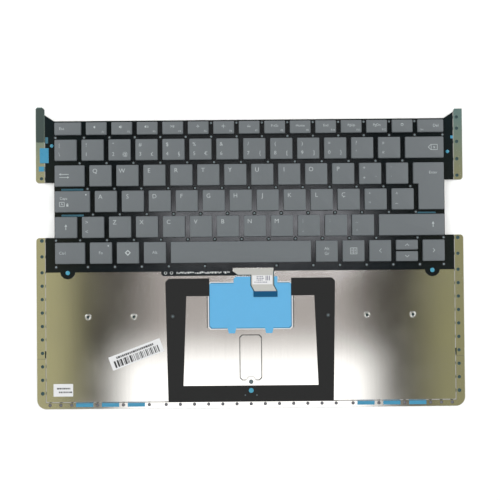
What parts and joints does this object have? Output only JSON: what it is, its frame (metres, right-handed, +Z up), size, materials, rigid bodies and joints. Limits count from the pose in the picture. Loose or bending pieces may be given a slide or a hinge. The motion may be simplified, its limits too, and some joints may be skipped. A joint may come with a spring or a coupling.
{
  "type": "laptop keyboard assembly",
  "caption": "Slim laptop keyboard: grey scissor-switch keycaps on a black membrane deck, carried by a stamped steel plate with rear ears, a bare palm panel and a drilled flange.",
  "frame": {"origin": "middle of the bounding box at the underside that the assembly rests on", "axes": "+X to the typist's right, +Y away from the typist, +Z up through the keycaps"},
  "size_m": [0.3026, 0.2138, 0.0049],
  "materials": {
    "stamped_steel": "brushed along the width, satin",
    "black_film": "matt black film",
    "backlight_film": "matt black film",
    "black_foam": "matt black adhesive foam",
    "blue_film": "pale blue film, half gloss",
    "flex_circuit": "pale grey shielded flat flex, satin",
    "stiffener": "dark blue, matt",
    "cover_tape": "black tape",
    "nut_steel": "bright plated",
    "liner_film": "blue liner film, half gloss",
    "label_paper": "white paper",
    "keycap_plastic": "warm grey, fine matt texture",
    "dome_rubber": "translucent white silicone",
    "scissor_plastic": "white moulded plastic",
    "wire_steel": "drawn wire"
  },
  "bodies": {
    "base": {"backlight_panel": "backlight_film", "bottom_row_keycaps": "keycap_plastic", "carrier_plate": "stamped_steel", "flex_tail": "flex_circuit", "function_row_keycaps": "keycap_plastic", "inner_scissor_arms": "scissor_plastic", "insulating_film": "blue_film", "number_row_keycaps": "keycap_plastic", "outer_scissor_arms": "scissor_plastic", "palm_nuts": "nut_steel", "paper_labels": "label_paper", "release_liners": "liner_film", "rubber_domes": "dome_rubber", "stabilizer_bars": "wire_steel", "switch_membrane": "black_film", "tail_cover": "cover_tape", "tail_stiffener": "stiffener", "touchpad_gasket": "black_foam"},
    "key_a": {"key_a": "keycap_plastic"},
    "key_accent": {"key_accent": "keycap_plastic"},
    "key_angle": {"key_angle": "keycap_plastic"},
    "key_b": {"key_b": "keycap_plastic"},
    "key_backspace": {"key_backspace": "keycap_plastic"},
    "key_c": {"key_c": "keycap_plastic"},
    "key_caps": {"key_caps": "keycap_plastic"},
    "key_cedilla": {"key_cedilla": "keycap_plastic"},
    "key_comma": {"key_comma": "keycap_plastic"},
    "key_d": {"key_d": "keycap_plastic"},
    "key_e": {"key_e": "keycap_plastic"},
    "key_enter": {"key_enter": "keycap_plastic"},
    "key_f": {"key_f": "keycap_plastic"},
    "key_g": {"key_g": "keycap_plastic"},
    "key_h": {"key_h": "keycap_plastic"},
    "key_i": {"key_i": "keycap_plastic"},
    "key_j": {"key_j": "keycap_plastic"},
    "key_k": {"key_k": "keycap_plastic"},
    "key_l": {"key_l": "keycap_plastic"},
    "key_left_shift": {"key_left_shift": "keycap_plastic"},
    "key_m": {"key_m": "keycap_plastic"},
    "key_minus": {"key_minus": "keycap_plastic"},
    "key_n": {"key_n": "keycap_plastic"},
    "key_o": {"key_o": "keycap_plastic"},
    "key_ordinal": {"key_ordinal": "keycap_plastic"},
    "key_p": {"key_p": "keycap_plastic"},
    "key_period": {"key_period": "keycap_plastic"},
    "key_plus": {"key_plus": "keycap_plastic"},
    "key_q": {"key_q": "keycap_plastic"},
    "key_r": {"key_r": "keycap_plastic"},
    "key_right_shift": {"key_right_shift": "keycap_plastic"},
    "key_s": {"key_s": "keycap_plastic"},
    "key_space": {"key_space": "keycap_plastic"},
    "key_t": {"key_t": "keycap_plastic"},
    "key_tab": {"key_tab": "keycap_plastic"},
    "key_tilde": {"key_tilde": "keycap_plastic"},
    "key_u": {"key_u": "keycap_plastic"},
    "key_v": {"key_v": "keycap_plastic"},
    "key_w": {"key_w": "keycap_plastic"},
    "key_x": {"key_x": "keycap_plastic"},
    "key_y": {"key_y": "keycap_plastic"},
    "key_z": {"key_z": "keycap_plastic"}
  },
  "joints": [
    {"name": "a_press", "type": "slide", "parent": "base", "child": "key_a", "axis": [0, 0, -1], "range_m": [0, 0.0013], "stiffness_N_per_m": 400, "deforming": ["rubber_domes", "outer_scissor_arms", "inner_scissor_arms"]},
    {"name": "accent_press", "type": "slide", "parent": "base", "child": "key_accent", "axis": [0, 0, -1], "range_m": [0, 0.0013], "stiffness_N_per_m": 400, "deforming": ["rubber_domes", "outer_scissor_arms", "inner_scissor_arms"]},
    {"name": "angle_press", "type": "slide", "parent": "base", "child": "key_angle", "axis": [0, 0, -1], "range_m": [0, 0.0013], "stiffness_N_per_m": 400, "deforming": ["rubber_domes", "outer_scissor_arms", "inner_scissor_arms"]},
    {"name": "b_press", "type": "slide", "parent": "base", "child": "key_b", "axis": [0, 0, -1], "range_m": [0, 0.0013], "stiffness_N_per_m": 400, "deforming": ["rubber_domes", "outer_scissor_arms", "inner_scissor_arms"]},
    {"name": "backspace_press", "type": "slide", "parent": "base", "child": "key_backspace", "axis": [0, 0, -1], "range_m": [0, 0.0013], "stiffness_N_per_m": 400, "deforming": ["rubber_domes", "outer_scissor_arms", "inner_scissor_arms"]},
    {"name": "c_press", "type": "slide", "parent": "base", "child": "key_c", "axis": [0, 0, -1], "range_m": [0, 0.0013], "stiffness_N_per_m": 400, "deforming": ["rubber_domes", "outer_scissor_arms", "inner_scissor_arms"]},
    {"name": "caps_press", "type": "slide", "parent": "base", "child": "key_caps", "axis": [0, 0, -1], "range_m": [0, 0.0013], "stiffness_N_per_m": 400, "deforming": ["rubber_domes", "outer_scissor_arms", "inner_scissor_arms"]},
    {"name": "cedilla_press", "type": "slide", "parent": "base", "child": "key_cedilla", "axis": [0, 0, -1], "range_m": [0, 0.0013], "stiffness_N_per_m": 400, "deforming": ["rubber_domes", "outer_scissor_arms", "inner_scissor_arms"]},
    {"name": "comma_press", "type": "slide", "parent": "base", "child": "key_comma", "axis": [0, 0, -1], "range_m": [0, 0.0013], "stiffness_N_per_m": 400, "deforming": ["rubber_domes", "outer_scissor_arms", "inner_scissor_arms"]},
    {"name": "d_press", "type": "slide", "parent": "base", "child": "key_d", "axis": [0, 0, -1], "range_m": [0, 0.0013], "stiffness_N_per_m": 400, "deforming": ["rubber_domes", "outer_scissor_arms", "inner_scissor_arms"]},
    {"name": "e_press", "type": "slide", "parent": "base", "child": "key_e", "axis": [0, 0, -1], "range_m": [0, 0.0013], "stiffness_N_per_m": 400, "deforming": ["rubber_domes", "outer_scissor_arms", "inner_scissor_arms"]},
    {"name": "enter_press", "type": "slide", "parent": "base", "child": "key_enter", "axis": [0, 0, -1], "range_m": [0, 0.0013], "stiffness_N_per_m": 400, "deforming": ["rubber_domes", "outer_scissor_arms", "inner_scissor_arms"]},
    {"name": "f_press", "type": "slide", "parent": "base", "child": "key_f", "axis": [0, 0, -1], "range_m": [0, 0.0013], "stiffness_N_per_m": 400, "deforming": ["rubber_domes", "outer_scissor_arms", "inner_scissor_arms"]},
    {"name": "g_press", "type": "slide", "parent": "base", "child": "key_g", "axis": [0, 0, -1], "range_m": [0, 0.0013], "stiffness_N_per_m": 400, "deforming": ["rubber_domes", "outer_scissor_arms", "inner_scissor_arms"]},
    {"name": "h_press", "type": "slide", "parent": "base", "child": "key_h", "axis": [0, 0, -1], "range_m": [0, 0.0013], "stiffness_N_per_m": 400, "deforming": ["rubber_domes", "outer_scissor_arms", "inner_scissor_arms"]},
    {"name": "i_press", "type": "slide", "parent": "base", "child": "key_i", "axis": [0, 0, -1], "range_m": [0, 0.0013], "stiffness_N_per_m": 400, "deforming": ["rubber_domes", "outer_scissor_arms", "inner_scissor_arms"]},
    {"name": "j_press", "type": "slide", "parent": "base", "child": "key_j", "axis": [0, 0, -1], "range_m": [0, 0.0013], "stiffness_N_per_m": 400, "deforming": ["rubber_domes", "outer_scissor_arms", "inner_scissor_arms"]},
    {"name": "k_press", "type": "slide", "parent": "base", "child": "key_k", "axis": [0, 0, -1], "range_m": [0, 0.0013], "stiffness_N_per_m": 400, "deforming": ["rubber_domes", "outer_scissor_arms", "inner_scissor_arms"]},
    {"name": "l_press", "type": "slide", "parent": "base", "child": "key_l", "axis": [0, 0, -1], "range_m": [0, 0.0013], "stiffness_N_per_m": 400, "deforming": ["rubber_domes", "outer_scissor_arms", "inner_scissor_arms"]},
    {"name": "left_shift_press", "type": "slide", "parent": "base", "child": "key_left_shift", "axis": [0, 0, -1], "range_m": [0, 0.0013], "stiffness_N_per_m": 400, "deforming": ["rubber_domes", "outer_scissor_arms", "inner_scissor_arms"]},
    {"name": "m_press", "type": "slide", "parent": "base", "child": "key_m", "axis": [0, 0, -1], "range_m": [0, 0.0013], "stiffness_N_per_m": 400, "deforming": ["rubber_domes", "outer_scissor_arms", "inner_scissor_arms"]},
    {"name": "minus_press", "type": "slide", "parent": "base", "child": "key_minus", "axis": [0, 0, -1], "range_m": [0, 0.0013], "stiffness_N_per_m": 400, "deforming": ["rubber_domes", "outer_scissor_arms", "inner_scissor_arms"]},
    {"name": "n_press", "type": "slide", "parent": "base", "child": "key_n", "axis": [0, 0, -1], "range_m": [0, 0.0013], "stiffness_N_per_m": 400, "deforming": ["rubber_domes", "outer_scissor_arms", "inner_scissor_arms"]},
    {"name": "o_press", "type": "slide", "parent": "base", "child": "key_o", "axis": [0, 0, -1], "range_m": [0, 0.0013], "stiffness_N_per_m": 400, "deforming": ["rubber_domes", "outer_scissor_arms", "inner_scissor_arms"]},
    {"name": "ordinal_press", "type": "slide", "parent": "base", "child": "key_ordinal", "axis": [0, 0, -1], "range_m": [0, 0.0013], "stiffness_N_per_m": 400, "deforming": ["rubber_domes", "outer_scissor_arms", "inner_scissor_arms"]},
    {"name": "p_press", "type": "slide", "parent": "base", "child": "key_p", "axis": [0, 0, -1], "range_m": [0, 0.0013], "stiffness_N_per_m": 400, "deforming": ["rubber_domes", "outer_scissor_arms", "inner_scissor_arms"]},
    {"name": "period_press", "type": "slide", "parent": "base", "child": "key_period", "axis": [0, 0, -1], "range_m": [0, 0.0013], "stiffness_N_per_m": 400, "deforming": ["rubber_domes", "outer_scissor_arms", "inner_scissor_arms"]},
    {"name": "plus_press", "type": "slide", "parent": "base", "child": "key_plus", "axis": [0, 0, -1], "range_m": [0, 0.0013], "stiffness_N_per_m": 400, "deforming": ["rubber_domes", "outer_scissor_arms", "inner_scissor_arms"]},
    {"name": "q_press", "type": "slide", "parent": "base", "child": "key_q", "axis": [0, 0, -1], "range_m": [0, 0.0013], "stiffness_N_per_m": 400, "deforming": ["rubber_domes", "outer_scissor_arms", "inner_scissor_arms"]},
    {"name": "r_press", "type": "slide", "parent": "base", "child": "key_r", "axis": [0, 0, -1], "range_m": [0, 0.0013], "stiffness_N_per_m": 400, "deforming": ["rubber_domes", "outer_scissor_arms", "inner_scissor_arms"]},
    {"name": "right_shift_press", "type": "slide", "parent": "base", "child": "key_right_shift", "axis": [0, 0, -1], "range_m": [0, 0.0013], "stiffness_N_per_m": 400, "deforming": ["rubber_domes", "outer_scissor_arms", "inner_scissor_arms", "stabilizer_bars"]},
    {"name": "s_press", "type": "slide", "parent": "base", "child": "key_s", "axis": [0, 0, -1], "range_m": [0, 0.0013], "stiffness_N_per_m": 400, "deforming": ["rubber_domes", "outer_scissor_arms", "inner_scissor_arms"]},
    {"name": "space_press", "type": "slide", "parent": "base", "child": "key_space", "axis": [0, 0, -1], "range_m": [0, 0.0013], "stiffness_N_per_m": 400, "deforming": ["rubber_domes", "outer_scissor_arms", "inner_scissor_arms", "stabilizer_bars"]},
    {"name": "t_press", "type": "slide", "parent": "base", "child": "key_t", "axis": [0, 0, -1], "range_m": [0, 0.0013], "stiffness_N_per_m": 400, "deforming": ["rubber_domes", "outer_scissor_arms", "inner_scissor_arms"]},
    {"name": "tab_press", "type": "slide", "parent": "base", "child": "key_tab", "axis": [0, 0, -1], "range_m": [0, 0.0013], "stiffness_N_per_m": 400, "deforming": ["rubber_domes", "outer_scissor_arms", "inner_scissor_arms"]},
    {"name": "tilde_press", "type": "slide", "parent": "base", "child": "key_tilde", "axis": [0, 0, -1], "range_m": [0, 0.0013], "stiffness_N_per_m": 400, "deforming": ["rubber_domes", "outer_scissor_arms", "inner_scissor_arms"]},
    {"name": "u_press", "type": "slide", "parent": "base", "child": "key_u", "axis": [0, 0, -1], "range_m": [0, 0.0013], "stiffness_N_per_m": 400, "deforming": ["rubber_domes", "outer_scissor_arms", "inner_scissor_arms"]},
    {"name": "v_press", "type": "slide", "parent": "base", "child": "key_v", "axis": [0, 0, -1], "range_m": [0, 0.0013], "stiffness_N_per_m": 400, "deforming": ["rubber_domes", "outer_scissor_arms", "inner_scissor_arms"]},
    {"name": "w_press", "type": "slide", "parent": "base", "child": "key_w", "axis": [0, 0, -1], "range_m": [0, 0.0013], "stiffness_N_per_m": 400, "deforming": ["rubber_domes", "outer_scissor_arms", "inner_scissor_arms"]},
    {"name": "x_press", "type": "slide", "parent": "base", "child": "key_x", "axis": [0, 0, -1], "range_m": [0, 0.0013], "stiffness_N_per_m": 400, "deforming": ["rubber_domes", "outer_scissor_arms", "inner_scissor_arms"]},
    {"name": "y_press", "type": "slide", "parent": "base", "child": "key_y", "axis": [0, 0, -1], "range_m": [0, 0.0013], "stiffness_N_per_m": 400, "deforming": ["rubber_domes", "outer_scissor_arms", "inner_scissor_arms"]},
    {"name": "z_press", "type": "slide", "parent": "base", "child": "key_z", "axis": [0, 0, -1], "range_m": [0, 0.0013], "stiffness_N_per_m": 400, "deforming": ["rubber_domes", "outer_scissor_arms", "inner_scissor_arms"]}
  ]
}
